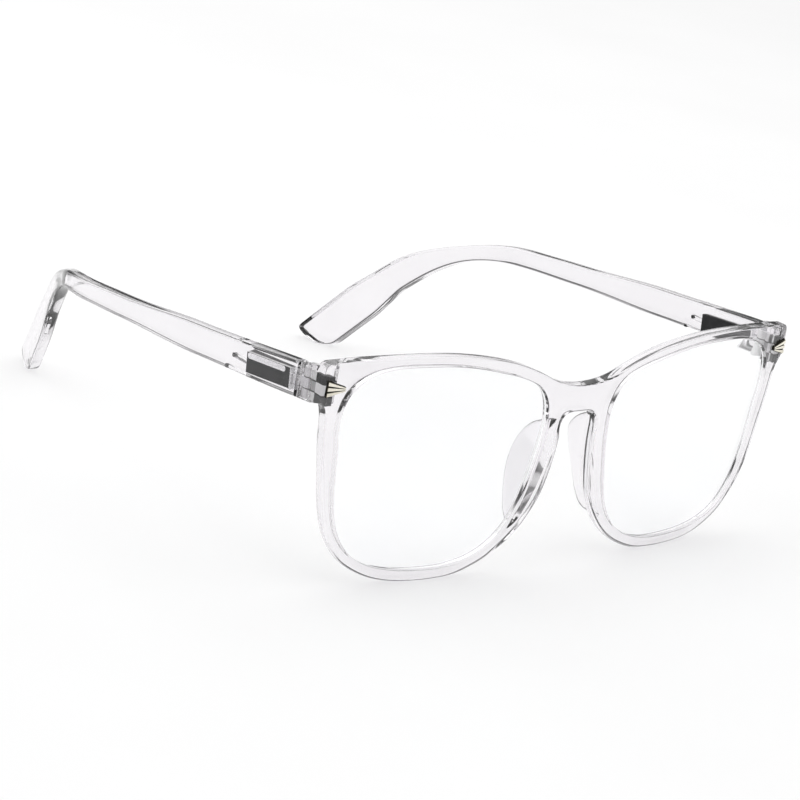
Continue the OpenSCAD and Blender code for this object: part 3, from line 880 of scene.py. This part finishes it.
FLOOR_HALF = 8.0
FLOOR_GAP = 0.02 * MM
floor_corners = [(x * FLOOR_HALF, y * FLOOR_HALF, 0) for x, y in ((-1, -1), (1, -1), (1, 1), (-1, 1))]
floor = make_mesh("floor", floor_corners, [(0, 1, 2, 3)])
floor.location.z = cad_low.z - FLOOR_GAP
dress(floor, floor_material())


LAMP_AT = Vector((0.0, 0.15, 0.9))
LAMP_SIZE, LAMP_POWER = 1.2, 2.7

lamp_data = bpy.data.lights.new("top_soft", "AREA")
lamp_data.shape = "RECTANGLE"
lamp_data.size = lamp_data.size_y = LAMP_SIZE
lamp_data.energy = LAMP_POWER
lamp = bpy.data.objects.new("top_soft", lamp_data)
bpy.context.scene.collection.objects.link(lamp)
lamp.location = LAMP_AT
lamp.rotation_mode = "QUATERNION"
lamp.rotation_quaternion = (-LAMP_AT).to_track_quat("-Z", "Y")

# Brightness of the surroundings at shares of a direction, straight up and towards the photographer
SKY_BANDS = [(0.0, 0.25), (0.06, 0.05), (0.16, 0.12), (0.34, 0.95)]
OPEN_SIDE = Vector((-0.63, -0.71, 0.31)).normalized()
OPEN_BANDS = [(0.0, 1.0), (0.72, 1.0), (0.86, 0.1)]
WORLD_STRENGTH = 1.1


def set_world():
    """White overhead, dark in a low band round the horizon and on the photographer's side."""
    world = bpy.data.worlds.new("studio")
    bpy.context.scene.world = world
    world.use_nodes = True
    tree = world.node_tree
    tree.nodes.clear()
    out = tree.nodes.new("ShaderNodeOutputWorld")
    background = tree.nodes.new("ShaderNodeBackground")
    coords = tree.nodes.new("ShaderNodeTexCoord")
    levels = []
    for axis, stops in (((0, 0, 1), SKY_BANDS), (OPEN_SIDE, OPEN_BANDS)):
        towards = tree.nodes.new("ShaderNodeVectorMath")
        towards.operation = "DOT_PRODUCT"
        towards.inputs[1].default_value = axis
        ramp = tree.nodes.new("ShaderNodeValToRGB")
        tree.links.new(coords.outputs["Generated"], towards.inputs[0])
        tree.links.new(towards.outputs["Value"], ramp.inputs["Fac"])
        elements = ramp.color_ramp.elements
        while len(elements) < len(stops):
            elements.new(0.5)
        for element, (position, level) in zip(elements, stops):
            element.position = position
            element.color = (level, level, level, 1)
        levels.append(ramp.outputs["Color"])
    both = tree.nodes.new("ShaderNodeMix")
    both.data_type = "RGBA"
    both.blend_type = "MULTIPLY"
    both.inputs["Factor"].default_value = 1.0
    tree.links.new(levels[0], both.inputs[6])
    tree.links.new(levels[1], both.inputs[7])
    tree.links.new(both.outputs[2], background.inputs["Color"])
    background.inputs["Strength"].default_value = WORLD_STRENGTH
    tree.links.new(background.outputs[0], out.inputs["Surface"])


set_world()

# ---- camera -----------------------------------------------------------------------------------

CAM_AT = (-436.1, -429.3, 230.9)
CAM_YAW, CAM_PITCH, CAM_ROLL = (math.radians(a) for a in (41.71, -17.93, 9.66))
SENSOR = 36.0
LENS_MM = 130.329

forward = Vector((
    math.sin(CAM_YAW) * math.cos(CAM_PITCH), math.cos(CAM_YAW) * math.cos(CAM_PITCH), math.sin(CAM_PITCH),
))
level = Vector((math.cos(CAM_YAW), -math.sin(CAM_YAW), 0))
upright = level.cross(forward)
right = level * math.cos(CAM_ROLL) + upright * math.sin(CAM_ROLL)
up = upright * math.cos(CAM_ROLL) - level * math.sin(CAM_ROLL)

camera_data = bpy.data.cameras.new("camera")
camera_data.sensor_width = SENSOR
camera_data.lens = LENS_MM
camera_data.clip_start = 0.01
camera = bpy.data.objects.new("camera", camera_data)
bpy.context.scene.collection.objects.link(camera)
axes = Matrix((right, up, -forward)).transposed().to_4x4()
camera.matrix_world = Matrix.Translation(place(*CAM_AT)) @ axes
bpy.context.scene.camera = camera

scene = bpy.context.scene
scene.view_settings.view_transform = "Standard"
scene.cycles.max_bounces = 24
scene.cycles.transmission_bounces = 20
scene.cycles.transparent_max_bounces = 24
